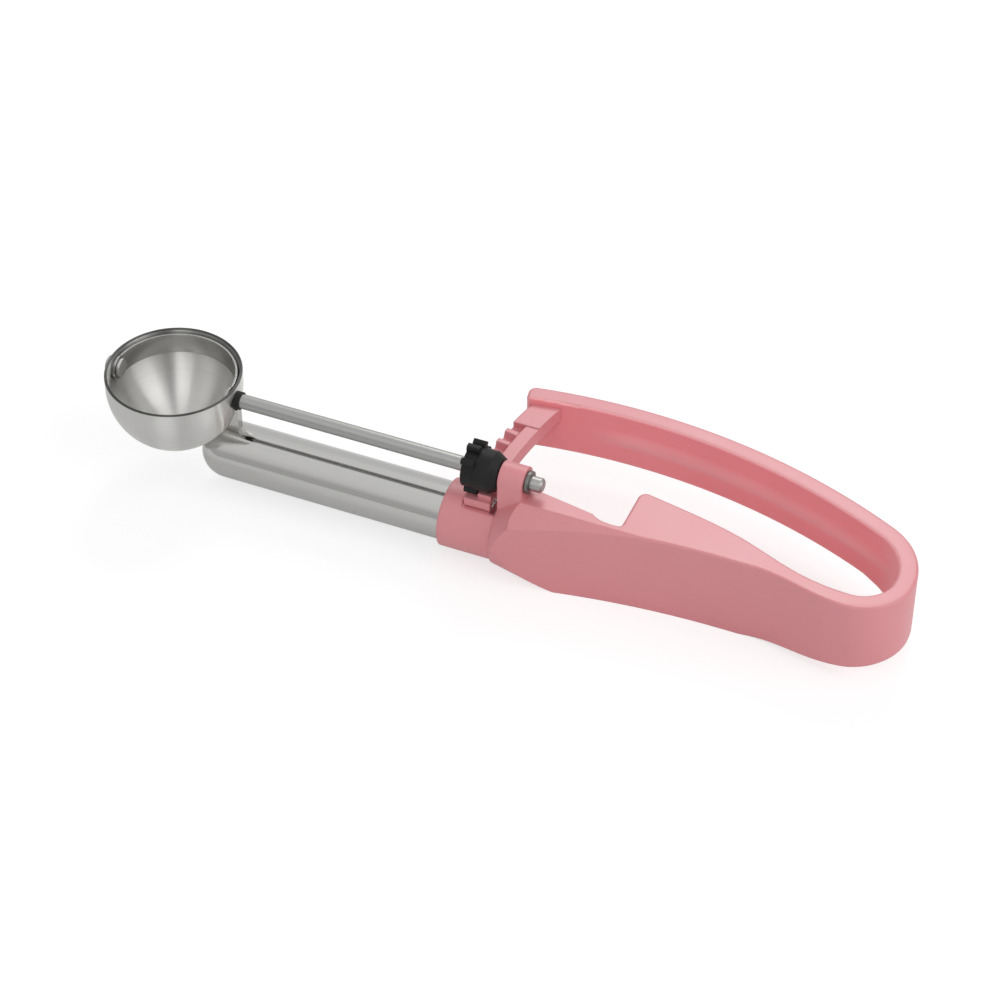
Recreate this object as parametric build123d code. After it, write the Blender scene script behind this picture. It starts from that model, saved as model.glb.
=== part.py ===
from build123d import *
import os
from math import acos, asin, atan2, cos, degrees, hypot, pi, radians, sin, sqrt, tan

# Squeeze disher: a steel bowl and barrel with a sprung loop handle.  Squeezing the lever swings
# an arc-shaped rack under the pinion, and the rod turns the sweep blade through the bowl.
#
# Every piece is modelled with the rod's axis along X, at Y = 0 and Z = 0, and with X = 0 at the
# bowl's centre: "station" means a distance along X from there.  place() then moves the pieces to
# the frame of the part, whose origin lies on the flat underside of the handle.
# Lengths are millimetres and angles are degrees.

# Bowl
bowl_radius = 18.5
bowl_wall = 0.8
bowl_rim_height = 3.9
bowl_rim_round = 0.3

# Barrel tube, its axis straight below the rod
tube_radius = 7.95
tube_wall = 0.9
tube_drop = 18.2
tube_weld_bite = 2.25
tube_seat_length = 10.5

# Gusset between the bowl and the tube
gusset_thickness = 2.4
gusset_stand_off = 0.7
gusset_below_rod = 2.7

# Drive rod
rod_radius = 2.0
rod_tail = 3.4
rod_square = 2.8
rod_head_radius = 2.5
rod_head_thickness = 0.6

# Rod bush in the bowl's wall
bush_wall = 0.4
bush_length = 2.6
bush_inset = 0.1

# Sweep blade
blade_gap = 0.4
blade_thickness = 0.6
blade_width = 6.0
blade_eye_radius = 3.3

# Blade pivot on the far side of the bowl
rivet_radius = 1.25
rivet_head_radius = 2.6
rivet_head_thickness = 0.9
washer_radius = 3.0
washer_thickness = 0.5

# Rack and pinion
gear_module = 1.45
pinion_teeth = 9
pinion_addendum = 0.75
pinion_blank_start = 60.0
pinion_blank_end = 140.0
rack_addendum = 0.7
tooth_root_clearance = 0.35
tooth_thickness_share = 0.42
pressure_angle = 20.0
tooth_width = 3.6
pinion_flange = 3.7
pinion_flange_radius = 5.7
pinion_hub = 2.2
pinion_hub_radius = 4.4
pinion_pin_radius = 0.75
pinion_pin_inset = 0.25
pinion_pin_slant = 45.0
rack_rail_width = 3.7
rack_thickness = 2.5
rack_tip_reach = 4.2
rail_tip_reach = 3.0
rack_tooth_count = 6
rack_land_length = 8.6
rack_clearance = 0.4
pocket_depth = 3.0
pocket_half_width = 4.5

# Handle: collar, nose and bearing lug
nose_front = 95.5
nose_half_width = 10.6
nose_depth = 10.6
nose_front_radius = 10.0
nose_flare_length = 8.5
nose_flare_slope = 36.0
nose_belly_slope = 10.5
nose_waist_length = 12.5
nose_waist_half = 8.87
nose_boss_length = 12.5
collar_radius = 9.3
collar_length = 15.1
origin_inset = 17.5
lug_radius = 4.0
lug_length = 6.8
lug_column_half = 3.9
plug_reach = 1.6
ring_radius = 3.1
ring_thickness = 0.9
ring_groove_depth = 0.5
ring_slot = 1.6

# Handle: lower arm and its stop block
handle_top_drop = 4.0
arm_outer_face = 3.4
arm_start = 158.4
arm_heel_start = 164.2
notch_start = 126.5
notch_floor_reach = 2.2
stop_station = 129.3
stop_height = 12.7
stop_mid_station = 160.0
stop_mid_height = 5.7
underside_end = 162.9
stop_corner_round = 2.2
notch_round = 1.1
stop_face_fall = 0.2

# Roof planes that shed the nose's shoulders
near_roof_start = 4.0
near_roof_slope = 37.0
far_roof_start = 2.6
far_roof_inset = 5.5
far_roof_slope = 50.0

# U-bend and lever
strip_thickness = 5.0
bend_height = 19.4
lower_bend_radius = 11.5
upper_bend_radius = 17.6
upper_bend_angle = 63.3
bend_straight = 0.5
hinge_station = 202.5
hinge_height = 6.7
lever_arc_radius = 168.2
lever_front_reach = 2.66
lever_height = 16.4
lever_taper_length = 15.0
lever_rib_height = 5.5
lever_rib_rise = 0.7
lever_rib_margin = 16.0
lever_corner_round = 2.2
lever_inner_round = 1.0
flex_gap = 0.05
flex_rim_angle = 70.0

# Running fits and edge rounds
running_gap = 0.05
thrust_gap = 0.3
edge_round = 0.7
small_round = 0.5
past = 1.0

# Worked out from the values above
bowl_inner = bowl_radius - bowl_wall
tube_inner = tube_radius - tube_wall
tube_end_station = nose_front + tube_seat_length
dome_station = sqrt((bowl_radius + tube_radius - tube_weld_bite) ** 2 - tube_drop**2)
handle_top = -handle_top_drop
handle_bottom = -tube_drop - nose_depth
pitch_radius = gear_module * pinion_teeth / 2
tip_radius = pitch_radius + pinion_addendum
root_radius = pitch_radius - rack_addendum - tooth_root_clearance
circular_pitch = pi * gear_module
pinion_rear = nose_front - thrust_gap
flange_rear = pinion_rear - pinion_hub
teeth_rear = flange_rear - pinion_flange
teeth_front = teeth_rear - tooth_width
pin_station = flange_rear - pinion_flange / 2
rack_outer = hinge_station - teeth_front
rack_inner = rack_outer - tooth_width - rack_rail_width
rack_mid = rack_outer - tooth_width / 2
rack_root_level = -pitch_radius - pinion_addendum - tooth_root_clearance
rack_back_level = rack_root_level - rack_thickness
rack_tip_level = rack_addendum - pitch_radius
rail_level = -pinion_flange_radius - rack_clearance
slot_floor = rack_back_level - rack_clearance
lug_rear = nose_front + lug_length
ring_front = lug_rear + thrust_gap
rod_tail_end = ring_front + ring_thickness + rod_tail
blade_outer = bowl_inner - blade_gap
blade_inner = blade_outer - blade_thickness
half_strip = strip_thickness / 2
knuckle_radius = half_strip
bend_outer_station = hinge_station + half_strip
arm_outer = -arm_outer_face
notch_floor = -notch_floor_reach
collar_front = nose_front - collar_length
far_away = bend_outer_station
heel_outer = hinge_height - bend_straight - lower_bend_radius - half_strip
heel_inner = heel_outer + strip_thickness
heel_station = hinge_station - lower_bend_radius

# Where the part's origin lies: on the underside of the nose, below the rod's axis
origin_station = nose_front + origin_inset
rest_level = handle_bottom


def along_x(front, length, radius):
    """A cylinder about the rod's axis, from the station front towards +X."""
    return extrude(Plane.YZ.offset(front) * Circle(radius), length)


def tube_axis(shape):
    """Move a shape that is centred on the rod's axis to the tube's axis."""
    return Pos(0, 0, -tube_drop) * shape


def slab(low, high):
    """A box between two corners."""
    size = [b - a for a, b in zip(low, high)]
    middle = [(a + b) / 2 for a, b in zip(low, high)]
    return Pos(*middle) * Box(*size)


def bowl_ball(radius):
    """A sphere about the bowl's centre, turned so that its seam is away from the other pieces."""
    return Rot(0, 0, -90) * Sphere(radius)


def half_shell(radius, rim):
    """The bowl's outline as a solid: a lower hemisphere with a straight band up to the rim."""
    profile = Line((0, -radius), (0, rim)) + Line((0, rim), (radius, rim))
    profile += Line((radius, rim), (radius, 0))
    profile += ThreePointArc((radius, 0), (radius * sin(pi / 4), -radius * cos(pi / 4)), (0, -radius))
    return revolve(Plane.XZ * make_face(profile), Axis.Z, 360)


def make_bowl():
    outer = half_shell(bowl_radius, bowl_rim_height)
    inner = half_shell(bowl_inner, bowl_rim_height)
    bowl = outer - inner
    rim_edges = bowl.edges().filter_by(GeomType.CIRCLE).sort_by(Axis.Z)[-2:]
    bowl = fillet(rim_edges, bowl_rim_round)
    bush_hole = along_x(0, 2 * bowl_radius, rod_radius + running_gap + bush_wall)
    rivet_hole = along_x(-2 * bowl_radius, 2 * bowl_radius, rivet_radius)
    return bowl - bush_hole - rivet_hole


def tube_body(radius):
    """A rod of the given radius on the tube's axis, with a domed front end."""
    straight = along_x(dome_station, tube_end_station - dome_station, radius)
    return tube_axis(straight + Pos(dome_station, 0, 0) * Sphere(radius))


def make_barrel_tube():
    tube = tube_body(tube_radius) - tube_body(tube_inner)
    return tube - bowl_ball(bowl_radius) - rack_slot()


def make_bowl_gusset():
    rear = bowl_radius + gusset_stand_off
    half = gusset_thickness / 2
    web = slab((dome_station - tube_radius, -half, -tube_drop), (rear, half, -gusset_below_rod))
    web = web - bowl_ball(bowl_radius) - tube_axis(along_x(0, tube_end_station, tube_radius))
    web = web - tube_axis(Pos(dome_station, 0, 0) * Sphere(tube_radius))
    return web.solids().sort_by(Axis.Z)[-1]


def make_drive_rod():
    eye_rear = blade_outer
    eye_front = blade_inner - small_round
    rod = along_x(eye_rear, rod_tail_end - eye_rear, rod_radius)
    square = Plane.YZ.offset(eye_front) * Rectangle(rod_square, rod_square)
    rod += extrude(square, eye_rear - eye_front)
    rod += along_x(eye_front - rod_head_thickness, rod_head_thickness, rod_head_radius)
    groove = along_x(ring_front, ring_thickness, 2 * rod_radius)
    groove -= along_x(ring_front, ring_thickness, rod_radius - ring_groove_depth)
    rod = rod - groove - pin_cylinder(2 * pinion_flange_radius)
    tail_edge = rod.edges().filter_by(GeomType.CIRCLE).sort_by(Axis.X)[-1]
    return chamfer(tail_edge, small_round)


def make_rod_bush():
    inner = rod_radius + running_gap
    front = bowl_inner - bush_inset
    return along_x(front, bush_length, inner + bush_wall) - along_x(front, bush_length, inner)


def make_sweep_blade():
    shell = bowl_ball(blade_outer) - bowl_ball(blade_inner)
    half = blade_width / 2
    reach = 2 * blade_outer
    strip = shell & slab((-reach, 0, -half), (reach, reach, half))
    eyes = shell & along_x(-reach, 2 * reach, blade_eye_radius)
    drive_hole = slab((0, -rod_square / 2, -rod_square / 2), (reach, rod_square / 2, rod_square / 2))
    pivot_hole = along_x(-reach, reach, rivet_radius + running_gap)
    return strip + eyes - drive_hole - pivot_hole


def make_pivot_rivet():
    inner_face = -blade_inner + thrust_gap
    outer_face = -bowl_radius
    shank = along_x(outer_face, inner_face - outer_face, rivet_radius)
    inner_head = along_x(inner_face, rivet_head_thickness, rivet_head_radius)
    outer_head = along_x(outer_face - washer_thickness - rivet_head_thickness,
                         rivet_head_thickness, rivet_head_radius)
    neck = along_x(outer_face - washer_thickness, washer_thickness, rivet_radius)
    rivet = shank + inner_head + outer_head + neck
    ends = rivet.edges().filter_by(GeomType.CIRCLE).sort_by(Axis.X)
    return fillet([ends[0], ends[-1]], small_round)


def make_pivot_washer():
    front = -bowl_radius - washer_thickness
    washer = along_x(front, 2 * washer_thickness, washer_radius)
    washer -= half_shell(bowl_radius, bowl_rim_height)
    return washer - along_x(front, 2 * washer_thickness, rivet_radius)


def involute_flank(base, start, end, turn):
    """Points of one involute flank between two radii, turned by an angle in radians."""
    steps = 5
    points = []
    for i in range(steps + 1):
        radius = start + (end - start) * i / steps
        roll = sqrt(max(radius**2 / base**2 - 1, 0))
        angle = turn - (roll - acos(base / radius))
        points.append((radius * sin(angle), radius * cos(angle)))
    return points


def pinion_tooth():
    """One tooth that points up: involute flanks on a short straight foot."""
    base = pitch_radius * cos(radians(pressure_angle))
    inside = tan(radians(pressure_angle)) - radians(pressure_angle)
    half_angle = tooth_thickness_share * pi / pinion_teeth + inside
    right = involute_flank(base, base, tip_radius, half_angle)
    left = [(-y, z) for y, z in reversed(right)]
    foot = root_radius - small_round
    right_foot = (foot * sin(half_angle), foot * cos(half_angle))
    left_foot = (-right_foot[0], right_foot[1])
    tooth = Line(right_foot, right[0]) + Spline(*right)
    tooth += ThreePointArc(right[-1], (0, tip_radius), left[0])
    tooth += Spline(*left) + Line(left[-1], left_foot) + Line(left_foot, right_foot)
    return make_face(tooth)


def tooth_angles():
    """The teeth's angles, from straight up to the near side.

    A gap points straight down at the rack, and the blank arc, which never meets it, has no teeth.
    """
    step = 360 / pinion_teeth
    angles = [(180 + step * (i + 0.5)) % 360 for i in range(pinion_teeth)]
    return [angle for angle in angles if not pinion_blank_start < angle < pinion_blank_end]


def pin_cylinder(length):
    """The cross pin's cylinder through the pinion's flange, aslant to the teeth."""
    return Pos(pin_station, 0, 0) * Rot(-pinion_pin_slant, 0, 0) * Cylinder(pinion_pin_radius, length)


def make_pinion():
    teeth = Circle(root_radius)
    for angle in tooth_angles():
        teeth += Rot(0, 0, angle) * pinion_tooth()
    wheel = extrude(Plane.YZ.offset(teeth_front) * teeth, tooth_width)
    flange = along_x(teeth_rear, pinion_flange, pinion_flange_radius)
    hub = Pos((flange_rear + pinion_rear) / 2, 0, 0) * Cone(
        pinion_flange_radius, pinion_hub_radius, pinion_hub, rotation=(0, 90, 0))
    bore = along_x(teeth_front, pinion_rear - teeth_front, rod_radius)
    return wheel + flange + hub - bore - pin_cylinder(2 * pinion_flange_radius)


def make_pinion_pin():
    return pin_cylinder(2 * (pinion_flange_radius - pinion_pin_inset))


def make_retaining_ring():
    ring = along_x(ring_front, ring_thickness, ring_radius)
    ring -= along_x(ring_front, ring_thickness, rod_radius - ring_groove_depth)
    half = ring_slot / 2
    return ring - slab((ring_front, -half, -ring_radius), (ring_front + ring_thickness, half, 0))


def hinge_cylinder(radius, low, high):
    """An upright cylinder about the flex axis of the U-bend."""
    return Pos(hinge_station, hinge_height, (low + high) / 2) * Cylinder(radius, high - low)


def rack_slot():
    """The space that the rack sweeps across the collar, with a deeper pocket beside the nose."""
    ring = hinge_cylinder(rack_outer + rack_clearance, slot_floor, handle_top)
    ring -= hinge_cylinder(rack_inner - rack_clearance, slot_floor, handle_top)
    sweep_front = ring & slab((0, -far_away, slot_floor), (nose_front, far_away, handle_top))
    rack_rear = hinge_station - rack_inner
    beside = slab((rack_rear, -far_away, slot_floor), (nose_front, far_away, handle_top))
    pocket = slab((rack_rear + rack_clearance, -pocket_half_width, slot_floor - pocket_depth),
                  (nose_front, pocket_half_width, slot_floor))
    return sweep_front + beside + pocket


def lever_arc_angle():
    """How far the lever's arc turns until its end stands the named reach in front of the rack."""
    turned = radians(upper_bend_angle)
    smaller = lever_arc_radius - upper_bend_radius
    across = upper_bend_radius + smaller * cos(turned)
    up = smaller * sin(turned)
    apart = hypot(across, up)
    reach = rack_outer + lever_front_reach
    cosine = (lever_arc_radius**2 + apart**2 - reach**2) / (2 * lever_arc_radius * apart)
    return degrees(atan2(up, across) + acos(cosine)) - upper_bend_angle


def strip_plan(offset):
    """The lever's path at a distance outside its middle line, from the flex axis to its front."""
    start = (hinge_station + offset, hinge_height)
    bend = JernArc(start, (0, 1), upper_bend_radius + offset, upper_bend_angle)
    lever = JernArc(bend @ 1, bend % 1, lever_arc_radius + offset, lever_arc_angle())
    return bend, lever


def lever_plan():
    outer_bend, outer_arc = strip_plan(half_strip)
    inner_bend, inner_arc = strip_plan(-half_strip)
    outline = outer_bend + outer_arc + Line(outer_arc @ 1, inner_arc @ 1)
    outline += inner_arc + inner_bend + Line(inner_bend @ 0, outer_bend @ 0)
    face = make_face(outline)
    face = fillet(face.vertices().sort_by_distance(outer_arc @ 1)[0], lever_corner_round)
    return fillet(face.vertices().sort_by_distance(inner_arc @ 1)[0], lever_inner_round)


def lever_rib():
    """The low rounded rib along the lever's inner face, from the U-bend nearly to the rack."""
    _, inner_arc = strip_plan(-half_strip)
    start = Plane(origin=inner_arc @ 0, x_dir=(0, 0, 1), z_dir=inner_arc % 0)
    section = start * Ellipse(lever_rib_height / 2, lever_rib_rise)
    angle = lever_arc_angle() - degrees(lever_rib_margin / lever_arc_radius)
    rib = revolve(section, Axis(inner_arc.arc_center, (0, 0, 1)), angle)
    return Pos(0, 0, handle_top - lever_height / 2) * rib


def below_line(*points):
    """All that lies below a line of (station, level) points, between its ends."""
    deep = handle_bottom - strip_thickness
    ends = [(points[-1][0], deep), (points[0][0], deep)]
    face = make_face(Polyline(*points, *ends, close=True))
    return extrude(Plane.XZ * face, far_away, both=True)


def round_top(body, start_station):
    """Round the top edges behind a station, apart from the ones across the flex axis."""
    top = [edge for edge in body.edges().group_by(Axis.Z)[-1] if edge.center().X > start_station]
    top = [edge for edge in top if min((edge @ 0).X, (edge @ 1).X) > start_station - small_round]
    return fillet([edge for edge in top if abs(edge.center().Y - hinge_height) > small_round], edge_round)


def make_squeeze_lever():
    low = handle_top - bend_height
    level = handle_top - lever_height
    body = round_top(extrude(Pos(0, 0, low) * lever_plan(), bend_height), 0)
    knuckle = hinge_cylinder(knuckle_radius, low, handle_top)
    body += fillet(knuckle.edges().sort_by(Axis.Z)[-1], edge_round)
    body -= below_line((0, level), (hinge_station - lever_taper_length, level), (hinge_station, low))
    return body + lever_rib()


def handle_outline():
    """The handle seen from above: the nose, the lower arm with its stop block, and the U-bend."""
    to_arm = Spline((nose_front, -nose_half_width), (nose_front + nose_waist_length, -nose_waist_half),
                    (arm_start, arm_outer), tangents=[(1, 0), (1, 0)])
    arm = Line((arm_start, arm_outer), (arm_heel_start, arm_outer))
    heel = Spline((arm_heel_start, arm_outer), (heel_station, heel_outer), tangents=[(1, 0), (1, 0)])
    bend = JernArc((heel_station, heel_outer), (1, 0), lower_bend_radius + half_strip, 90)
    rise = Line(bend @ 1, (bend_outer_station, hinge_height))
    across = Line(rise @ 1, (hinge_station - half_strip, hinge_height))
    fall = Line(across @ 1, (hinge_station - half_strip, hinge_height - bend_straight))
    inner_bend = JernArc((heel_station, heel_inner), (1, 0), lower_bend_radius - half_strip, 90)
    block = Spline((heel_station, heel_inner), (stop_mid_station, stop_mid_height),
                   (stop_station, stop_height), tangents=[(-1, 0), (-1, stop_face_fall)])
    front = Line((stop_station, stop_height), (stop_station, notch_floor))
    floor = Line((stop_station, notch_floor), (notch_start, notch_floor))
    far = Spline((notch_start, notch_floor), (nose_front + nose_boss_length, nose_half_width),
                 tangents=[(-1, 0), (-1, 0)])
    side = Line(far @ 1, (nose_front, nose_half_width))
    face_line = Line((nose_front, nose_half_width), (nose_front, -nose_half_width))
    outline = to_arm + arm + heel + bend + rise + across + fall + inner_bend
    outline += block + front + floor + far + side + face_line
    plan = make_face(outline)
    plan = fillet(plan.vertices().sort_by_distance(front @ 0)[0], stop_corner_round)
    return fillet(plan.vertices().sort_by_distance(front @ 1)[0], notch_round)


def near_roof():
    """The wedge above the nose's sloping shoulder on the near side."""
    fall = far_away * tan(radians(near_roof_slope))
    outer = -near_roof_start - far_away
    section = Polyline((-near_roof_start, handle_top), (outer, handle_top - fall),
                       (outer, far_away), (-near_roof_start, far_away), close=True)
    return extrude(Plane.YZ * make_face(section), arm_start)


def far_roof():
    """The wedge above the nose's steeper shoulder on the far side, as far back as the stop block."""
    fall = far_away * tan(radians(far_roof_slope))
    section = Polyline((0, 0), (far_away, -fall), (far_away, far_away), (0, far_away), close=True)
    wedge = extrude(Plane.YZ * make_face(section), far_away, both=True)
    start = nose_front + far_roof_inset
    turn = degrees(atan2(notch_floor - far_roof_start, stop_station - start))
    wedge = Pos(start, far_roof_start, handle_top) * Rot(0, 0, turn) * wedge
    return wedge & slab((0, -far_away, -far_away), (stop_station, far_away, far_away))


def flare_cutter(length, slope, low, high):
    """What lies outside a cone that opens rearwards from the nose's front, between two heights."""
    end_radius = nose_front_radius + length * tan(radians(slope))
    block = slab((nose_front - past, -far_away, low), (nose_front + length, far_away, high))
    cone = Cone(nose_front_radius, end_radius, length, rotation=(0, 90, 0))
    return tube_axis(block - Pos(nose_front + length / 2, 0, 0) * cone)


def lug_section():
    """The bearing lug seen along the rod: a round boss on a column that stands on the nose."""
    return Circle(lug_radius) + Pos(0, -tube_drop / 2) * Rectangle(2 * lug_column_half, tube_drop)


def make_handle_body():
    body = extrude(Pos(0, 0, handle_bottom) * handle_outline(), handle_top - handle_bottom)
    body = round_top(body, stop_station)
    body -= below_line((underside_end, handle_bottom), (bend_outer_station, handle_top - bend_height))
    body = body - near_roof() - far_roof()
    body -= flare_cutter(nose_flare_length, nose_flare_slope, 0, far_away)
    body -= flare_cutter(notch_start - nose_front, nose_belly_slope, -far_away, 0)
    body += tube_axis(along_x(collar_front, collar_length + small_round, collar_radius))
    body += extrude(Plane.YZ.offset(nose_front) * lug_section(), lug_length)
    bore = along_x(collar_front, tube_end_station - collar_front, tube_radius)
    bore -= along_x(teeth_front - plug_reach, tube_end_station - teeth_front + plug_reach, tube_inner)
    body = body - tube_axis(bore) - rack_slot()
    body -= along_x(nose_front - past, lug_length + 2 * past, rod_radius + running_gap)
    cup = hinge_cylinder(knuckle_radius + flex_gap, handle_bottom, 0)
    rim = hinge_height - knuckle_radius * cos(radians(flex_rim_angle))
    open_end = slab((hinge_station - strip_thickness, rim, handle_bottom),
                    (hinge_station + strip_thickness, hinge_height + strip_thickness, 0))
    return body - cup - open_end


def rack_tooth():
    """One tooth of the rack, pointing up, as a bar across the rack's outer part."""
    taper = tan(radians(pressure_angle))
    half_tip = tooth_thickness_share * circular_pitch / 2 - rack_addendum * taper
    low = rack_root_level - small_round
    half_foot = half_tip + (rack_tip_level - low) * taper
    section = Polyline((-half_foot, low), (-half_tip, rack_tip_level), (half_tip, rack_tip_level),
                       (half_foot, low), close=True)
    return extrude(Plane.YZ.offset(-rack_outer) * make_face(section), tooth_width)


def rack_bar(radius, top, start, end):
    """The rack's bar inside a radius about the flex axis, from one side to the other."""
    return hinge_cylinder(radius, rack_back_level, top) & slab(
        (0, start, rack_back_level), (hinge_station, end, top))


def make_rack_arm():
    """The arc-shaped rack: teeth on its outer part, a smooth rail and a land at the lever."""
    lever_side = (strip_plan(-half_strip)[1] @ 1).Y
    back = lever_side + half_strip
    arm = rack_bar(rack_outer, rack_root_level, -rack_tip_reach, back)
    arm += rack_bar(rack_outer - tooth_width, rail_level, -rail_tip_reach, back)
    arm += rack_bar(rack_outer, rack_tip_level, lever_side - rack_land_length, back)
    arm -= hinge_cylinder(rack_inner, rack_back_level, rack_tip_level)
    contact = asin(hinge_height / rack_mid)
    for i in range(rack_tooth_count):
        turn = contact - i * circular_pitch / rack_mid
        arm += Pos(hinge_station, hinge_height, 0) * Rot(0, 0, degrees(turn)) * rack_tooth()
    return arm - make_squeeze_lever()


def place(shape):
    return Pos(-origin_station, 0, -rest_level) * shape


pieces = {
    "bowl": make_bowl,
    "barrel_tube": make_barrel_tube,
    "bowl_gusset": make_bowl_gusset,
    "drive_rod": make_drive_rod,
    "rod_bush": make_rod_bush,
    "sweep_blade": make_sweep_blade,
    "pivot_rivet": make_pivot_rivet,
    "pivot_washer": make_pivot_washer,
    "pinion": make_pinion,
    "pinion_pin": make_pinion_pin,
    "retaining_ring": make_retaining_ring,
    "handle_body": make_handle_body,
    "squeeze_lever": make_squeeze_lever,
    "rack_arm": make_rack_arm,
}

os.makedirs("parts", exist_ok=True)
for node, make in pieces.items():
    export_step(place(make()), f"parts/{node}.step")
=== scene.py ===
from math import cos, pi, radians, sin

import bmesh
import bpy
from mathutils import Matrix, Vector


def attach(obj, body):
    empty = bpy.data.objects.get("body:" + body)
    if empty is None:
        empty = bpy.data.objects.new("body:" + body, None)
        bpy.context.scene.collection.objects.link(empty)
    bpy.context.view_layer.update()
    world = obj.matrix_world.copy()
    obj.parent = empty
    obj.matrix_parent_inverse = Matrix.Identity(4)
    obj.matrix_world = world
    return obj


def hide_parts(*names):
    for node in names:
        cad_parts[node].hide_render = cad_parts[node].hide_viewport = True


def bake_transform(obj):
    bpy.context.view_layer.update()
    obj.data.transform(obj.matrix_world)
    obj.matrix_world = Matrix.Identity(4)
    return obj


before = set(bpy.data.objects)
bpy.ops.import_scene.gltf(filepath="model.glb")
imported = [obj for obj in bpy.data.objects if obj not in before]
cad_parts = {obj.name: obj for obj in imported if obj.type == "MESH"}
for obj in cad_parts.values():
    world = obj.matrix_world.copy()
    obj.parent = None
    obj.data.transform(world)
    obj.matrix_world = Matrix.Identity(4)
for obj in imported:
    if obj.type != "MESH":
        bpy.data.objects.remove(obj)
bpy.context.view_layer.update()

bl_info = {
    "name": "Lever Ice Cream Scoop",
    "version": (1, 0, 0),
    "blender": (4, 5, 0),
    "location": "View3D > Sidebar > Scoop",
    "description": "Dresses the lever scoop's solids: moulded grip, spun bowl, drawn tube",
    "category": "Object",
}

# Vertex attribute that carries painted light: how far the plastic takes the inner face's lighter,
# deeper pink
PAINTED_LIGHT_ATTRIBUTE = "inner_face"
MM = 0.001

# Places of the solids, in millimetres from the row frame's origin
BOWL_STATION = -113.0
HINGE_STATION = 89.5
HINGE_SIDE = 6.7
HANDLE_TOP = 24.8
ROD_HEIGHT = 28.8

# The bowl's rim above the rod's axis and the height of its rim band, which carries a painted dark
# reflection, in millimetres
BOWL_RIM = 3.9
RIM_BAND = 0.4

# The handle's underside, in millimetres: heights above the rest plane, and stations behind the
# bowl's middle. The arm's side rises, and the lever's side tapers down towards the bend.
ARM_RISE = 5.4
ARM_RISE_START = 162.9
ARM_RISE_END = 205.0
LEVER_UNDERSIDE = 8.4
TAPER_DROP = 3.0
TAPER_START = 187.5
TAPER_LENGTH = 15.0

# Steps round each top edge of the strip and across its rib
EDGE_STEPS = 6
RIB_STEPS = 24

# Where things begin and how far they take to change, as shares of the bend's length: the
# underside, the inner face's full painted light, the rib; and the rib's run-out before the lever's
# tip
UNDERSIDE_START, UNDERSIDE_CHANGE = 0.3, 0.4
PAINTED_LIGHT_ALONG_START, PAINTED_LIGHT_ALONG_CHANGE = 0.4, 0.8
RIB_START, RIB_CHANGE, RIB_RUN_OUT = 0.6, 0.6, 0.4

# Painted light on the strip's inner face: 0 stands for the outer colour, this value for the rib's
# paler painted highlight and 1 for the inner face's painted bounce light, a lighter, deeper pink.
# It begins at this share of half the strip's thickness.
RIB_PAINTED_HIGHLIGHT = 0.5
PAINTED_LIGHT_START = 0.75

# Edges shorter than this are slivers, in metres
SLIVER = 0.000001

# Noises of the finishes, in patches per metre
PLASTIC_CLOUD, PLASTIC_GRAIN = 55.0, 2600.0
NYLON_CLOUD, NYLON_GRAIN = 240.0, 3200.0
BOWL_CLOUD, STEEL_CLOUD = 70.0, 45.0
CLOTH_WEAVE = 300.0

# Strength of the fine relief and its height in metres
PLASTIC_RELIEF = (0.12, 0.00004)
NYLON_RELIEF = (0.2, 0.00005)
BOWL_RELIEF = (0.08, 0.00002)
STEEL_RELIEF = (0.06, 0.00002)

# How far steel edges are eased, in metres, and how many rays ease an edge
STEEL_EDGE = 0.0002
EDGE_RAYS = 6

# A quarter turn from the tangent, so that the highlights run across the spinning lines
SPUN_ROTATION = 0.25

# How much rougher the cut rim is than the bowl
RIM_DULLNESS = 0.2

PLASTIC_IOR = 1.5
CLOTH_ROUGHNESS = 0.9

# Panel beyond the handle, in metres: its place, the point it faces and its size
BACK_PLACE = (-0.14, 0.83, 0.83)
BACK_TARGET = (0.02, 0.0, 0.02)
BACK_SIZE = (0.38, 0.38)

# Tall soft panels round the bowl: name, bearing in degrees, width in metres, share of the front
# brightness; then their distance and height, the height they face and how tall they are
FRONT_PANELS = (("front_panel", -80, 0.6, 0.72), ("right_panel", -3, 0.8, 1.0))
PANEL_DISTANCE = 1.0
PANEL_HEIGHT = 0.75
PANEL_TARGET = 0.03
PANEL_TALL = 1.3

# Flag between the front panels: bearings in degrees, then distance, foot and top in metres
FLAG_LEFT, FLAG_RIGHT = -62, -41
FLAG_DISTANCE, FLAG_FOOT, FLAG_TOP = 1.1, 0.1, 1.5

# Heights in the room, from 0 at the horizon to 1 overhead: where the low wall ends, where the
# white begins and where it is brightest, and how bright it is there
WALL_END, WHITE_START, ZENITH = 0.28, 0.5, 0.8
ZENITH_LEVEL = 1.15

# The far wall brightens between these two values of a direction's part along Y
FAR_START, FAR_FULL = 0.2, 0.7

# How much of the floor's glow shows to the eye and in reflections
GLOW_SEEN, GLOW_MIRRORED = 0.5, 0.1

# The camera from the rod's axis above the bowl, in millimetres to the right, down and back
CAMERA_RIGHT, CAMERA_DOWN, CAMERA_BACK = 87.27, 31.60, 804.1


# ---------------------------------------------------------------- shader maths


class Amount:
    """A number, vector or colour that varies over a surface; arithmetic on it adds Math nodes."""

    def __init__(self, painter, socket):
        self.painter = painter
        self.socket = socket

    def math(self, operation, first, second):
        """The result of a Math node with two inputs."""
        return self.painter.node("ShaderNodeMath", {"operation": operation}, {0: first, 1: second})

    def __add__(self, other):
        return self.math("ADD", self, other)

    def __radd__(self, other):
        return self.math("ADD", other, self)

    def __sub__(self, other):
        return self.math("SUBTRACT", self, other)

    def __rsub__(self, other):
        return self.math("SUBTRACT", other, self)

    def __mul__(self, other):
        return self.math("MULTIPLY", self, other)

    def __rmul__(self, other):
        return self.math("MULTIPLY", other, self)

    def __truediv__(self, other):
        return self.math("DIVIDE", self, other)

    def __rtruediv__(self, other):
        return self.math("DIVIDE", other, self)

    def __pow__(self, other):
        return self.math("POWER", self, other)

    def __rpow__(self, other):
        return self.math("POWER", other, self)


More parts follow.
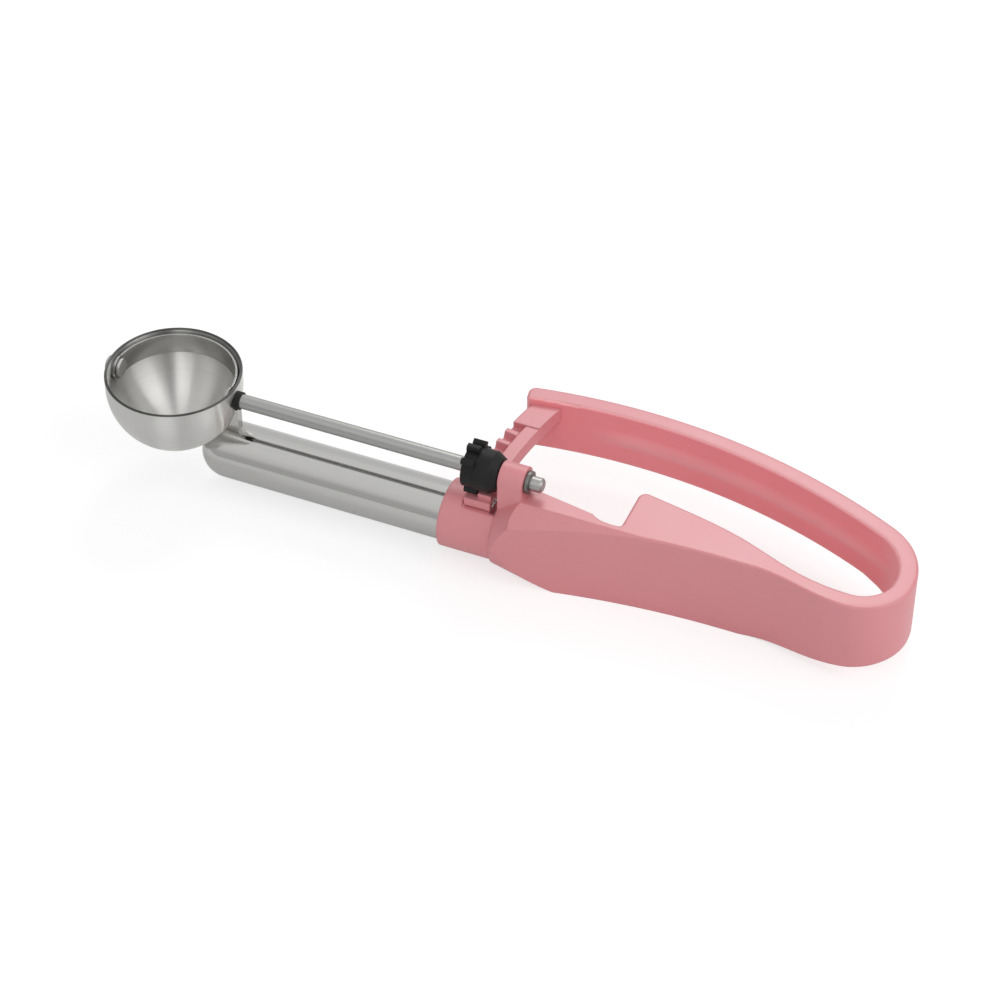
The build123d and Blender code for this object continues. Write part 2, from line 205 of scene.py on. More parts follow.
class Painter:
    """Fills one node tree, a material's or the room's."""

    def __init__(self, tree):
        self.tree = tree
        self.tree.nodes.clear()

    def node(self, kind, settings=None, inputs=None, output=0):
        """Add a node: its settings first, then the values or links of its sockets."""
        node = self.tree.nodes.new(kind)
        for name, value in (settings or {}).items():
            if name == "stops":
                self.set_stops(node.color_ramp, value)
            else:
                setattr(node, name, value)
        for name, value in (inputs or {}).items():
            if isinstance(value, Amount):
                self.tree.links.new(value.socket, node.inputs[name])
            else:
                node.inputs[name].default_value = value
        return Amount(self, node.outputs[output]) if node.outputs else None

    @staticmethod
    def set_stops(ramp, stops):
        """Give a colour ramp its stops of (position, colour), of which there are two or more."""
        while len(ramp.elements) < len(stops):
            ramp.elements.new(1.0)
        for element, (position, colour) in zip(ramp.elements, stops):
            element.position = position
            element.color = colour

    def mix(self, factor, low, high):
        """A colour between two colours."""
        inputs = {0: factor, 6: low, 7: high}
        return self.node("ShaderNodeMix", {"data_type": "RGBA"}, inputs, output=2)

    def colour_ramp(self, factor, stops):
        """A colour that follows stops of (position, colour)."""
        return self.node("ShaderNodeValToRGB", {"stops": stops}, {0: factor})

    def ramp(self, factor, stops):
        """A grey level that follows stops of (position, level)."""
        return self.colour_ramp(factor, [(at, (level, level, level, 1.0)) for at, level in stops])

    def parts_of(self, vector):
        """The three parts of a vector."""
        return [self.node("ShaderNodeSeparateXYZ", None, {0: vector}, output=i) for i in range(3)]

    def ray(self, kind):
        """1 for rays of a kind, 0 for the others."""
        return self.node("ShaderNodeLightPath", output=f"Is {kind} Ray")


class Finish(Painter):
    """One material's node tree, painted in the row frame's coordinates."""

    def __init__(self, name):
        self.material = bpy.data.materials.new(name)
        self.material.use_nodes = True
        super().__init__(self.material.node_tree)
        self.place = self.node("ShaderNodeTexCoord", output="Object")

    def stretched(self, scale, centre=(0.0, 0.0, 0.0)):
        """The row frame's coordinates about a centre, multiplied by a scale for each axis."""
        moved = self.node("ShaderNodeVectorMath", {"operation": "SUBTRACT"},
                          {0: self.place, 1: centre})
        return self.node("ShaderNodeVectorMath", {"operation": "MULTIPLY"}, {0: moved, 1: scale})

    def noise(self, scale, detail=2.0, vector=None):
        """Noise from 0 to 1; scale is in patches per metre unless the vector is already scaled."""
        return self.node("ShaderNodeTexNoise", None,
                         {"Vector": vector or self.place, "Scale": scale, "Detail": detail})

    def toned(self, factor, colour, dark, light):
        """A colour that goes from a darker to a lighter shade of itself."""
        return self.mix(factor, shade(colour, dark), shade(colour, light))

    @staticmethod
    def varied(mean, *noises):
        """A value about a mean: each noise comes with its full swing."""
        for noise, swing in noises:
            mean = mean + (noise - 0.5) * swing
        return mean

    def bump(self, height, strength, distance, edge_round):
        """A normal with fine relief, and with the sharp edges eased."""
        eased = self.node("ShaderNodeBevel", {"samples": EDGE_RAYS}, {"Radius": edge_round})
        return self.node("ShaderNodeBump", None,
                         {"Height": height, "Strength": strength, "Distance": distance,
                          "Normal": eased})

    def surface(self, **sockets):
        """The principled shader and the material's output."""
        values = {name.replace("_", " "): value for name, value in sockets.items()}
        shader = self.node("ShaderNodeBsdfPrincipled", None, values)
        self.node("ShaderNodeOutputMaterial", None, {"Surface": shader})
        return self.material


def rgba(colour):
    """A colour with full alpha."""
    return (colour[0], colour[1], colour[2], 1.0)


def shade(colour, factor):
    """A colour made darker or lighter by a factor."""
    return (colour[0] * factor, colour[1] * factor, colour[2] * factor, 1.0)


def moulded_plastic(settings):
    """Satin plastic: faint mottling, a moulded grain, and painted bounce light, a lighter, deeper
    pink, on the lever's inner face.
    """
    finish = Finish("pink_plastic_painted_inner_light")
    cloud = finish.noise(PLASTIC_CLOUD, 3.0)
    grain = finish.noise(PLASTIC_GRAIN)
    # Painted light: the attribute moves the colour towards the rib's painted highlight and the
    # inner face's painted bounce light
    inner = finish.node("ShaderNodeAttribute", {"attribute_name": PAINTED_LIGHT_ATTRIBUTE}, output=2)
    even = finish.colour_ramp(inner, [(0.0, rgba(settings.colour)),
                                      (RIB_PAINTED_HIGHLIGHT, rgba(settings.rib_painted_highlight_colour)),
                                      (1.0, rgba(settings.inner_painted_light_colour))])
    tone = finish.node("ShaderNodeVectorMath", {"operation": "SCALE"},
                       {0: even, "Scale": 0.95 + cloud * 0.1})
    return finish.surface(
        Base_Color=tone, Roughness=finish.varied(settings.roughness, (cloud, 0.10), (grain, 0.06)),
        IOR=PLASTIC_IOR, Specular_IOR_Level=settings.sheen,
        Normal=finish.bump(grain, *PLASTIC_RELIEF, settings.edge_round))


def black_plastic(settings):
    """Dark moulded nylon with a dry, slightly uneven sheen."""
    finish = Finish("black_moulded_nylon")
    cloud = finish.noise(NYLON_CLOUD, 3.0)
    grain = finish.noise(NYLON_GRAIN)
    return finish.surface(
        Base_Color=finish.toned(cloud, settings.colour, 0.7, 1.5),
        Roughness=finish.varied(settings.roughness, (cloud, 0.18)),
        IOR=PLASTIC_IOR, Specular_IOR_Level=settings.sheen,
        Normal=finish.bump(grain, *NYLON_RELIEF, settings.edge_round))


def spun_steel(settings):
    """Spun and polished bowl steel: fine rings about the upright axis, and the rim band rougher,
    with a painted dark reflection.
    """
    finish = Finish("spun_bowl_steel_painted_dark_rim")
    centre = (BOWL_STATION * MM, 0.0, ROD_HEIGHT * MM)
    x, y, z = finish.parts_of(finish.stretched((1.0, 1.0, 1.0), centre))
    down_wall = (x * x + y * y) ** 0.5 - z
    rings = finish.node("ShaderNodeTexNoise", {"noise_dimensions": "1D"},
                        {"W": down_wall, "Scale": settings.rings_per_metre, "Detail": 3.0})
    cloud = finish.noise(BOWL_CLOUD)
    # Painted dark reflection: the rim's top band takes a much darker tone of the steel
    above_band = (z - (BOWL_RIM - RIM_BAND) * MM) / (RIM_BAND * MM)
    rim = finish.ramp(above_band, [(0.0, 0.0), (0.5, 1.0)])
    wall = finish.toned(rings, shade(settings.colour, settings.bowl_tone), 0.94, 1.05)
    tone = finish.mix(rim, wall, shade(settings.colour, settings.painted_dark_rim_tone))
    gloss = finish.varied(settings.bowl_roughness, (rings, 0.10), (cloud, 0.04))
    return finish.surface(
        Base_Color=tone, Metallic=1.0, Roughness=gloss + rim * RIM_DULLNESS,
        Anisotropic=settings.spun_anisotropy, Anisotropic_Rotation=SPUN_ROTATION,
        Normal=finish.bump(rings, *BOWL_RELIEF, STEEL_EDGE))


def worked_steel(settings, name, grain, tone, roughness):
    """Steel with fine lines: the grain gives how many patches per metre it has on each axis."""
    finish = Finish(name)
    lines = finish.noise(1.0, 3.0, finish.stretched(grain))
    cloud = finish.noise(STEEL_CLOUD)
    return finish.surface(
        Base_Color=finish.toned(lines, shade(settings.colour, tone), 0.94, 1.06), Metallic=1.0,
        Roughness=finish.varied(roughness, (lines, 0.10), (cloud, 0.04)),
        Normal=finish.bump(lines, *STEEL_RELIEF, STEEL_EDGE))


# ------------------------------------------------------------------- the grip


def clamp(value):
    """A value kept from 0 to 1."""
    return min(max(value, 0.0), 1.0)


def smooth_steps(value):
    """A soft step from 0 to 1."""
    value = clamp(value)
    return value * value * (3 - 2 * value)


def link(name, data):
    """A new object in the scene, made of a mesh, light or camera."""
    piece = bpy.data.objects.new(name, data)
    bpy.context.scene.collection.objects.link(piece)
    return piece


def copy_of(node, name):
    """A loose copy of a solid's mesh, under a name of its own."""
    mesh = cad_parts[node].data.copy()
    mesh.name = name
    return link(name, mesh)


def trim(piece, point, outward):
    """Cut a piece at a plane and drop what lies on the outward side, with any slivers."""
    shape = bmesh.new()
    shape.from_mesh(piece.data)
    bmesh.ops.bisect_plane(shape, geom=shape.verts[:] + shape.edges[:] + shape.faces[:],
                           plane_co=point, plane_no=outward, clear_outer=True)
    bmesh.ops.dissolve_degenerate(shape, dist=SLIVER, edges=shape.edges[:])
    shape.to_mesh(piece.data)
    shape.free()


def turn_about(centre, radius, angle):
    """A point on a circle in plan, and the direction outwards from its centre."""
    outward = Vector((cos(angle), sin(angle), 0))
    return centre + outward * radius, outward


def strip_path(settings):
    """Stations along the strip's middle line, from the arm's heel to where the lever's tip begins.

    Each has a place, the direction across the strip to its outer side, and the length so far.
    """
    heel_centre = Vector((HINGE_STATION * MM - settings.lower_radius,
                          HINGE_SIDE * MM - settings.straight, 0))
    bend_centre = Vector((HINGE_STATION * MM - settings.upper_radius, HINGE_SIDE * MM, 0))
    turn = settings.upper_turn
    bend_end, outward = turn_about(bend_centre, settings.upper_radius, turn)
    lever_centre = bend_end - outward * settings.lever_radius
    sweep = settings.lever_turn - settings.tip_length / settings.lever_radius
    arcs = ((heel_centre, settings.lower_radius, -pi / 2, pi / 2, settings.sections),
            (bend_centre, settings.upper_radius, 0.0, turn, settings.sections),
            (lever_centre, settings.lever_radius, turn, sweep, 2 * settings.sections))
    along, path = 0.0, []
    for centre, radius, start, swept, steps in arcs:
        for i in range(steps):
            place, outward = turn_about(centre, radius, start + swept * i / steps)
            path.append((place, outward, along))
            along += radius * swept / steps
    place, outward = turn_about(lever_centre, settings.lever_radius, turn + sweep)
    path.append((place, outward, along))
    return path


def underside(x, share):
    """The strip's lower edge, which goes from the arm's slope to the lever's with the share."""
    station = x / MM - BOWL_STATION
    slope = ARM_RISE / (ARM_RISE_END - ARM_RISE_START)
    arm = max(0.0, slope * (station - ARM_RISE_START)) * MM
    drop = clamp((station - TAPER_START) / TAPER_LENGTH)
    lever = (LEVER_UNDERSIDE - TAPER_DROP * drop) * MM
    return arm + (lever - arm) * smooth_steps(share)


def strip_section(settings, rise):
    """Offsets and heights round the strip, from the outer lower edge; None is the underside."""
    half = settings.thickness / 2
    top = HANDLE_TOP * MM
    easing = settings.top_round
    turns = [pi / 2 * i / EDGE_STEPS for i in range(EDGE_STEPS + 1)]
    points = [(half, None)]
    for turn in turns:
        points.append((half - easing + easing * cos(turn), top - easing + easing * sin(turn)))
    for turn in turns:
        points.append((-half + easing - easing * sin(turn), top - easing + easing * cos(turn)))
    for i in range(RIB_STEPS + 1):
        height = 1 - 2 * i / RIB_STEPS
        proud = rise * cos(pi / 2 * height) ** 2
        points.append((-half - proud, settings.rib_middle + height * settings.rib_half_height))
    points.append((-half, None))
    return points


def painted_light_share(offset, settings):
    """How far a point takes the inner face's painted light, from its offset across the strip; the
    rib takes the paler painted highlight.
    """
    half = settings.thickness / 2
    proud = clamp((-offset - half) / settings.rib_rise)
    return clamp((-offset / half - PAINTED_LIGHT_START) / (1 - PAINTED_LIGHT_START)) * (1 - (1 - RIB_PAINTED_HIGHLIGHT) * proud)


def mark_painted_light(mesh, shares):
    """Note on each vertex how much of the inner face's painted light the plastic's colour takes.
    """
    marks = mesh.attributes.new(PAINTED_LIGHT_ATTRIBUTE, "FLOAT", "POINT")
    marks.data.foreach_set("value", shares)


def mark_tip_painted_light(tip, settings):
    """Mark the painted light on the inner face of the lever's tip, which lies on the lever's long
    arc.
    """
    place, outward, _ = strip_path(settings)[-1]
    centre = place - outward * settings.lever_radius
    offsets = [(vertex.co - centre).xy.length - settings.lever_radius
               for vertex in tip.data.vertices]
    mark_painted_light(tip.data, [painted_light_share(offset, settings) for offset in offsets])


def make_strip(settings):
    """The flexing U-bend and the lever as one smooth skin, with a soft rib and painted light on
    its inner face.
    """
    path = strip_path(settings)
    bend = settings.lower_radius * pi / 2 + settings.upper_radius * settings.upper_turn
    end = path[-1][2]
    verts, faces, shares = [], [], []
    for place, outward, along in path:
        reached = along / bend
        # Painted light along the strip: the rib's paler painted highlight on the bend, growing to
        # the full painted bounce light on the lever
        depth = RIB_PAINTED_HIGHLIGHT + (1 - RIB_PAINTED_HIGHLIGHT) * smooth_steps((reached - PAINTED_LIGHT_ALONG_START) / PAINTED_LIGHT_ALONG_CHANGE)
        grown = smooth_steps((reached - RIB_START) / RIB_CHANGE)
        grown *= smooth_steps((end - along) / (RIB_RUN_OUT * bend))
        low = (reached - UNDERSIDE_START) / UNDERSIDE_CHANGE
        for offset, height in strip_section(settings, settings.rib_rise * grown):
            point = place + outward * offset
            point.z = underside(point.x, low) if height is None else height
            verts.append(point)
            shares.append(depth * painted_light_share(offset, settings))
    count = len(verts) // len(path)
    for i in range(len(path) - 1):
        for j in range(count):
            a = i * count + j
            b = i * count + (j + 1) % count
            faces.append((a, b, b + count, a + count))
    mesh = bpy.data.meshes.new("spring_strip")
    mesh.from_pydata(verts, [], faces)
    mark_painted_light(mesh, shares)
    mesh.polygons.foreach_set("use_smooth", [True] * len(mesh.polygons))
    shape = bmesh.new()
    shape.from_mesh(mesh)
    bmesh.ops.recalc_face_normals(shape, faces=shape.faces[:])
    for edge in shape.edges:
        edge.smooth = len(edge.link_faces) < 2 or edge.calc_face_angle() < settings.crease
    shape.to_mesh(mesh)
    shape.free()
    return link("spring_strip", mesh)


def dress(piece, material):
    """Give a piece, or a carried-over solid, one material."""
    piece.data.materials.clear()
    piece.data.materials.append(material)


# ------------------------------------------------------------------ settings


class ScoopGripSettings(bpy.types.PropertyGroup):
    """Colours and sizes of the moulded grip."""

    colour: bpy.props.FloatVectorProperty(
        name="Plastic colour", description="Colour of the moulded grip, lever and rack",
        subtype="COLOR", size=3, default=(0.73, 0.265, 0.29), min=0.0, max=1.0)
    # Painted light: a lighter, deeper pink that stands in for bounce light on the lever's inner
    # face
    inner_painted_light_colour: bpy.props.FloatVectorProperty(
        name="Inner colour", description="Deeper colour of the lever's inner face",
        subtype="COLOR", size=3, default=(1.0, 0.34, 0.375), min=0.0, max=1.0)
    # Painted highlight: a paler pink on the rib and the bend's inner face
    rib_painted_highlight_colour: bpy.props.FloatVectorProperty(
        name="Rib colour", description="Paler colour of the inner rib and the bend's inner face",
        subtype="COLOR", size=3, default=(1.0, 0.45, 0.47), min=0.0, max=1.0)
    roughness: bpy.props.FloatProperty(
        name="Plastic roughness", description="Mean roughness of the plastic",
        default=0.38, min=0.05, max=1.0)
    sheen: bpy.props.FloatProperty(
        name="Plastic sheen", description="Strength of the plastic's surface reflection",
        default=0.8, min=0.0, max=1.0)
    edge_round: bpy.props.FloatProperty(
        name="Edge rounding", description="How far the moulded edges are softened",
        subtype="DISTANCE", unit="LENGTH", default=0.0005, min=0.0, max=0.002)
    thickness: bpy.props.FloatProperty(
        name="Strip thickness", description="Thickness of the U-bend's strip",
        subtype="DISTANCE", unit="LENGTH", default=0.005)
    lower_radius: bpy.props.FloatProperty(
        name="Lower bend radius", description="Middle radius of the bend on the arm's side",
        subtype="DISTANCE", unit="LENGTH", default=0.0115)
    upper_radius: bpy.props.FloatProperty(
        name="Upper bend radius", description="Middle radius of the bend on the lever's side",
        subtype="DISTANCE", unit="LENGTH", default=0.0176)
    upper_turn: bpy.props.FloatProperty(
        name="Upper bend turn", description="Angle of the bend on the lever's side",
        subtype="ANGLE", unit="ROTATION", default=radians(63.3))
    straight: bpy.props.FloatProperty(
        name="Bend straight", description="Straight stretch between the two bends",
        subtype="DISTANCE", unit="LENGTH", default=0.0005)
    lever_radius: bpy.props.FloatProperty(
        name="Lever radius", description="Middle radius of the lever's long arc",
        subtype="DISTANCE", unit="LENGTH", default=0.1682)
    lever_turn: bpy.props.FloatProperty(
        name="Lever turn", description="Angle of the lever's long arc, with its tip",
        subtype="ANGLE", unit="ROTATION", default=radians(37.01))
    tip_length: bpy.props.FloatProperty(
        name="Lever tip length", description="Length of the separate tip that carries the rack",
        subtype="DISTANCE", unit="LENGTH", default=0.015)
    top_round: bpy.props.FloatProperty(
        name="Top edge round", description="Radius along the strip's top edges",
        subtype="DISTANCE", unit="LENGTH", default=0.0007)
    rib_rise: bpy.props.FloatProperty(
        name="Rib rise", description="How far the lever's inner rib stands proud",
        subtype="DISTANCE", unit="LENGTH", default=0.0009, min=0.0001)
    rib_half_height: bpy.props.FloatProperty(
        name="Rib half height", description="Half the height of the lever's inner rib",
        subtype="DISTANCE", unit="LENGTH", default=0.0036)
    rib_middle: bpy.props.FloatProperty(
        name="Rib middle", description="Height of the rib's middle line above the rest plane",
        subtype="DISTANCE", unit="LENGTH", default=0.0166)
    crease: bpy.props.FloatProperty(
        name="Crease angle", description="Angle from which the strip's edges stay sharp",
        subtype="ANGLE", unit="ROTATION", default=radians(35))
    sections: bpy.props.IntProperty(
        name="Bend sections", description="Sections along each of the strip's bends",
        default=32, min=8, max=200)


class ScoopSteelSettings(bpy.types.PropertyGroup):
    """Colours and finishes of the steel pieces."""

    colour: bpy.props.FloatVectorProperty(
        name="Steel colour", description="Reflectance of the stainless steel",
        subtype="COLOR", size=3, default=(0.55, 0.545, 0.53), min=0.0, max=1.0)
    bowl_roughness: bpy.props.FloatProperty(
        name="Bowl roughness", description="Mean roughness of the spun bowl",
        default=0.36, min=0.02, max=1.0)
    tube_roughness: bpy.props.FloatProperty(
        name="Tube roughness", description="Mean roughness of the drawn tube",
        default=0.11, min=0.02, max=1.0)
    spun_anisotropy: bpy.props.FloatProperty(
        name="Spun sheen", description="How much the spinning lines stretch the highlights",
        default=1.0, min=0.0, max=1.0)
    bowl_tone: bpy.props.FloatProperty(
        name="Bowl tone", description="How bright the polished bowl is against the plain steel",
        default=1.22, min=0.0, max=1.8)
    # Painted dark reflection: tone of the bowl's rim band against the plain steel
    painted_dark_rim_tone: bpy.props.FloatProperty(
        name="Rim tone", description="How bright the dull cut rim is against the plain steel",
        default=0.25, min=0.0, max=1.0)
    rings_per_metre: bpy.props.FloatProperty(
        name="Spinning lines", description="Fineness of the bowl's rings, per metre",
        default=2200.0, min=10.0)


class ScoopGearSettings(bpy.types.PropertyGroup):
    """Colour and finish of the black gear and bush."""

    colour: bpy.props.FloatVectorProperty(
        name="Gear colour", description="Colour of the nylon gear and bush",
        subtype="COLOR", size=3, default=(0.012, 0.012, 0.0115), min=0.0, max=1.0)
    roughness: bpy.props.FloatProperty(
        name="Gear roughness", description="Mean roughness of the nylon",
        default=0.5, min=0.05, max=1.0)
    sheen: bpy.props.FloatProperty(
        name="Gear sheen", description="Strength of the nylon's surface reflection",
        default=0.2, min=0.0, max=1.0)
    edge_round: bpy.props.FloatProperty(
        name="Edge rounding", description="How far the gear's edges are softened",
        subtype="DISTANCE", unit="LENGTH", default=0.0003, min=0.0, max=0.002)


class ScoopStageSettings(bpy.types.PropertyGroup):
    """Floor, lights and camera."""

    floor_colour: bpy.props.FloatVectorProperty(
        name="Floor colour", description="Colour of the plain floor",
        subtype="COLOR", size=3, default=(0.9, 0.9, 0.9), min=0.0, max=1.0)
    floor_size: bpy.props.FloatProperty(
        name="Floor size", description="Width of the floor",
        subtype="DISTANCE", unit="LENGTH", default=8.0)
    azimuth: bpy.props.FloatProperty(
        name="Camera azimuth", description="Direction of view about Z; 0 looks along +Y",
        subtype="ANGLE", unit="ROTATION", default=radians(22.882))
    elevation: bpy.props.FloatProperty(
        name="Camera elevation", description="How far the camera looks down",
        subtype="ANGLE", unit="ROTATION", default=radians(42.495))
    lens: bpy.props.FloatProperty(
        name="Lens", description="Focal length in millimetres", default=108.0)
    sensor: bpy.props.FloatProperty(
        name="Sensor", description="Width of the camera's sensor in millimetres", default=36.0)
    back_power: bpy.props.FloatProperty(
        name="Back light", description="Power of the panel beyond the handle, in watts",
        default=2.9)
    front_power: bpy.props.FloatProperty(
        name="Front lights", description="Power of the front panels, in watts per metre of width",
        default=6.0)
    room_level: bpy.props.FloatProperty(
        name="Room light", description="Level of the light from all round", default=0.58)
    horizon_level: bpy.props.FloatProperty(
        name="Horizon level", description="Brightness of the low walls in reflections",
        default=0.7)
    far_wall_gain: bpy.props.FloatProperty(
        name="Far wall gain", description="How much brighter the low wall beyond the object is",
        default=0.28)
    floor_glow: bpy.props.FloatProperty(
        name="Floor glow", description="Brightness mixed into the floor where it is seen",
        default=1.34)
    flag_tone: bpy.props.FloatProperty(
        name="Flag tone", description="Grey of the flag that stands between the front panels",
        default=0.3)


# ------------------------------------------------------------------ operators


class SCOOP_OT_grip(bpy.types.Operator):
    """Dress the grip: arm, lever, rack and the flexing U-bend between them"""

    bl_idname = "scoop.grip"
    bl_label = "Grip and Lever"

    def execute(self, context):
        settings = context.scene.scoop_grip
        plastic = moulded_plastic(settings)
        heel = HINGE_STATION * MM - settings.lower_radius
        arm = copy_of("handle_body", "grip_arm")
        trim(arm, (heel, 0.0, 0.0), (1.0, 0.0, 0.0))
        strip = make_strip(settings)
        place, outward, _ = strip_path(settings)[-1]
        tip = copy_of("squeeze_lever", "lever_tip")
        trim(tip, place, (outward.y, -outward.x, 0.0))
        mark_tip_painted_light(tip, settings)
        for piece in (arm, tip, strip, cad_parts["rack_arm"]):
            dress(piece, plastic)
        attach(arm, "frame")
        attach(tip, "lever")
        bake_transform(strip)
        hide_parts("handle_body")
        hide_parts("squeeze_lever")
        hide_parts("squeeze_lever")
        return {"FINISHED"}


class SCOOP_OT_steel(bpy.types.Operator):
    """Dress the bowl, tube, rod, blade and small steel pieces"""

    bl_idname = "scoop.steel"
    bl_label = "Steel Pieces"

    def execute(self, context):
        settings = context.scene.scoop_steel
        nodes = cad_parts
        # Each finish: grain along X, Y and Z, tone against the plain steel, roughness, pieces
        finishes = {
            "drawn_tube_steel": ((14.0, 2600.0, 2600.0), 0.98, settings.tube_roughness,
                                 ("barrel_tube", "bowl_gusset")),
            "rolled_blade_steel": ((30.0, 30.0, 2600.0), 0.75, 0.24, ("sweep_blade",)),
            "ground_rod_steel": ((14.0, 2200.0, 2200.0), 0.69, 0.36, ("drive_rod",)),
            "turned_rivet_steel": ((2600.0, 60.0, 60.0), 0.85, 0.45,
                                   ("pivot_rivet", "pivot_washer", "pinion_pin")),
            "dull_ring_steel": ((900.0, 900.0, 900.0), 0.35, 0.42, ("retaining_ring",)),
        }
        dress(nodes["bowl"], spun_steel(settings))
        for name, (grain, tone, roughness, pieces) in finishes.items():
            steel = worked_steel(settings, name, grain, tone, roughness)
            for piece in pieces:
                dress(nodes[piece], steel)
        return {"FINISHED"}


class SCOOP_OT_gear(bpy.types.Operator):
    """Dress the black gear and the rod's bush"""

    bl_idname = "scoop.gear"
    bl_label = "Gear and Bush"

    def execute(self, context):
        nylon = black_plastic(context.scene.scoop_gear)
        for name in ("pinion", "rod_bush"):
            dress(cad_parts[name], nylon)
        return {"FINISHED"}


def panel_light(name, place, target, size, power):
    """A soft rectangular panel that faces a point."""
    light = bpy.data.lights.new(name, "AREA")
    light.shape = "RECTANGLE"
    light.size, light.size_y = size
    light.energy = power
    lamp = link(name, light)
    lamp.location = place
    facing = (Vector(place) - Vector(target)).to_track_quat("Z", "Y")
    lamp.rotation_euler = facing.to_euler()


def floor_finish(settings):
    """Plain matt floor that shows nearly white to the eye, and keeps shadows."""
    finish = Finish("plain_floor")
    seen = (finish.ray("Camera") + finish.ray("Transmission")) * GLOW_SEEN
    share = seen + finish.ray("Glossy") * GLOW_MIRRORED
    matt = finish.node("ShaderNodeBsdfDiffuse", None, {"Color": rgba(settings.floor_colour)})
    bright = finish.node("ShaderNodeEmission", None, {"Strength": settings.floor_glow})
    shader = finish.node("ShaderNodeMixShader", None, {0: share, 1: matt, 2: bright})
    finish.node("ShaderNodeOutputMaterial", None, {"Surface": shader})
    return finish.material


def flag_finish(settings):
    """Grey cloth of the flag between the front panels."""
    finish = Finish("grey_flag_cloth")
    weave = finish.noise(CLOTH_WEAVE)
    grey = (settings.flag_tone,) * 3
    return finish.surface(Base_Color=finish.toned(weave, grey, 0.9, 1.1),
                          Roughness=CLOTH_ROUGHNESS)


def light_room(settings):
    """An even room: white where it is seen, graded walls in reflections, softer as a light."""
    world = bpy.data.worlds.new("studio_room")
    world.use_nodes = True
    room = Painter(world.node_tree)
    _, depth, height = room.parts_of(room.node("ShaderNodeTexCoord", output="Generated"))
    walls = room.ramp(height, [(0.0, settings.horizon_level), (WALL_END, settings.horizon_level),
                               (WHITE_START, 1.0), (ZENITH, ZENITH_LEVEL)])
    low = room.ramp(height, [(WALL_END, 1.0), (WHITE_START, 0.0)])
    far = room.ramp(depth, [(FAR_START, 0.0), (FAR_FULL, 1.0)])
    walls = walls + far * low * settings.far_wall_gain
    seen = room.ray("Camera") + room.ray("Transmission")
    mirrored = room.ray("Glossy")
    level = seen + mirrored * walls + (1.0 - seen - mirrored) * settings.room_level
    light = room.node("ShaderNodeBackground", None, {"Strength": level})
    room.node("ShaderNodeOutputWorld", None, {"Surface": light})
    bpy.context.scene.world = world


def flat_board(name, corners, finish):
    """A flat four-cornered board of the stage."""
    mesh = bpy.data.meshes.new(name)
    mesh.from_pydata(corners, [], [(0, 1, 2, 3)])
    board = link(name, mesh)
    dress(board, finish)
    return board


def around_bowl(bearing, distance, height):
    """A point at a bearing in degrees about the bowl's axis."""
    turn = radians(bearing)
    return Vector((BOWL_STATION * MM + distance * cos(turn), distance * sin(turn), height))


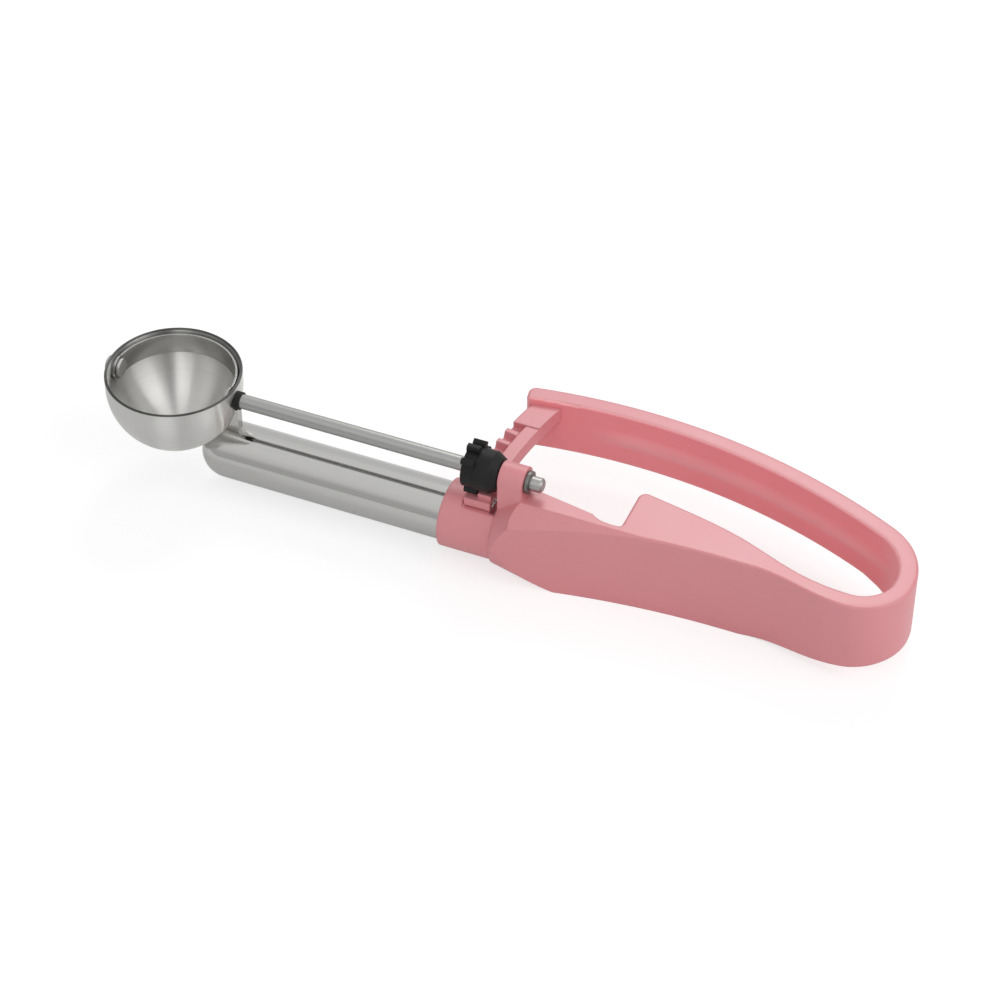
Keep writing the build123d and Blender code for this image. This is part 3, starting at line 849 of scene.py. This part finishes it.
class SCOOP_OT_stage(bpy.types.Operator):
    """Lay the floor, hang the light panels and set the camera"""

    bl_idname = "scoop.stage"
    bl_label = "Stage"

    def execute(self, context):
        settings = context.scene.scoop_stage
        reach = settings.floor_size / 2
        flat_board("floor", [(-reach, -reach, 0), (reach, -reach, 0),
                             (reach, reach, 0), (-reach, reach, 0)], floor_finish(settings))
        panel_light("back_panel", BACK_PLACE, BACK_TARGET, BACK_SIZE, settings.back_power)
        for name, bearing, width, share in FRONT_PANELS:
            panel_light(name, around_bowl(bearing, PANEL_DISTANCE, PANEL_HEIGHT),
                        (BOWL_STATION * MM, 0.0, PANEL_TARGET), (width, PANEL_TALL),
                        settings.front_power * share * width)
        corners = ((FLAG_LEFT, FLAG_FOOT), (FLAG_RIGHT, FLAG_FOOT),
                   (FLAG_RIGHT, FLAG_TOP), (FLAG_LEFT, FLAG_TOP))
        flag = flat_board("front_flag", [around_bowl(bearing, FLAG_DISTANCE, height)
                                         for bearing, height in corners], flag_finish(settings))
        flag.visible_camera = flag.visible_diffuse = flag.visible_shadow = False
        light_room(settings)
        self.set_camera(context, settings)
        context.scene.view_settings.view_transform = "Standard"
        return {"FINISHED"}

    @staticmethod
    def set_camera(context, settings):
        """Put the camera before the near side, looking down along the scoop."""
        azimuth, elevation = settings.azimuth, settings.elevation
        right = Vector((cos(azimuth), sin(azimuth), 0))
        up = Vector((-sin(azimuth) * sin(elevation), cos(azimuth) * sin(elevation),
                     cos(elevation)))
        back = right.cross(up)
        lens = bpy.data.cameras.new("camera")
        lens.sensor_width = settings.sensor
        lens.lens = settings.lens
        camera = link("camera", lens)
        rod = Vector((BOWL_STATION, 0, ROD_HEIGHT))
        place = rod + CAMERA_RIGHT * right - CAMERA_DOWN * up + CAMERA_BACK * back
        turn = Matrix((right, up, back)).transposed()
        camera.matrix_world = Matrix.Translation(place * MM) @ turn.to_4x4()
        context.scene.camera = camera


class SCOOP_PT_panel(bpy.types.Panel):
    """The scoop's settings and operators in the sidebar"""

    bl_label = "Lever Scoop"
    bl_idname = "SCOOP_PT_panel"
    bl_space_type = "VIEW_3D"
    bl_region_type = "UI"
    bl_category = "Scoop"

    def draw(self, context):
        for group, (operator, _) in GROUPS.items():
            box = self.layout.box()
            box.operator(operator)
            settings = getattr(context.scene, group)
            for name in settings.bl_rna.properties.keys():
                if name not in ("rna_type", "name"):
                    box.prop(settings, name)


# Each group of settings on the scene: its operator and its class
GROUPS = {
    "scoop_grip": ("scoop.grip", ScoopGripSettings),
    "scoop_steel": ("scoop.steel", ScoopSteelSettings),
    "scoop_gear": ("scoop.gear", ScoopGearSettings),
    "scoop_stage": ("scoop.stage", ScoopStageSettings),
}
CLASSES = (ScoopGripSettings, ScoopSteelSettings, ScoopGearSettings, ScoopStageSettings,
           SCOOP_OT_grip, SCOOP_OT_steel, SCOOP_OT_gear, SCOOP_OT_stage, SCOOP_PT_panel)


def register():
    for item in CLASSES:
        bpy.utils.register_class(item)
    for name, (_, settings) in GROUPS.items():
        setattr(bpy.types.Scene, name, bpy.props.PointerProperty(type=settings))


def unregister():
    for name in GROUPS:
        delattr(bpy.types.Scene, name)
    for item in reversed(CLASSES):
        bpy.utils.unregister_class(item)


def main():
    register()
    bpy.ops.scoop.grip()
    bpy.ops.scoop.steel()
    bpy.ops.scoop.gear()
    bpy.ops.scoop.stage()


if __name__ == "__main__":
    main()
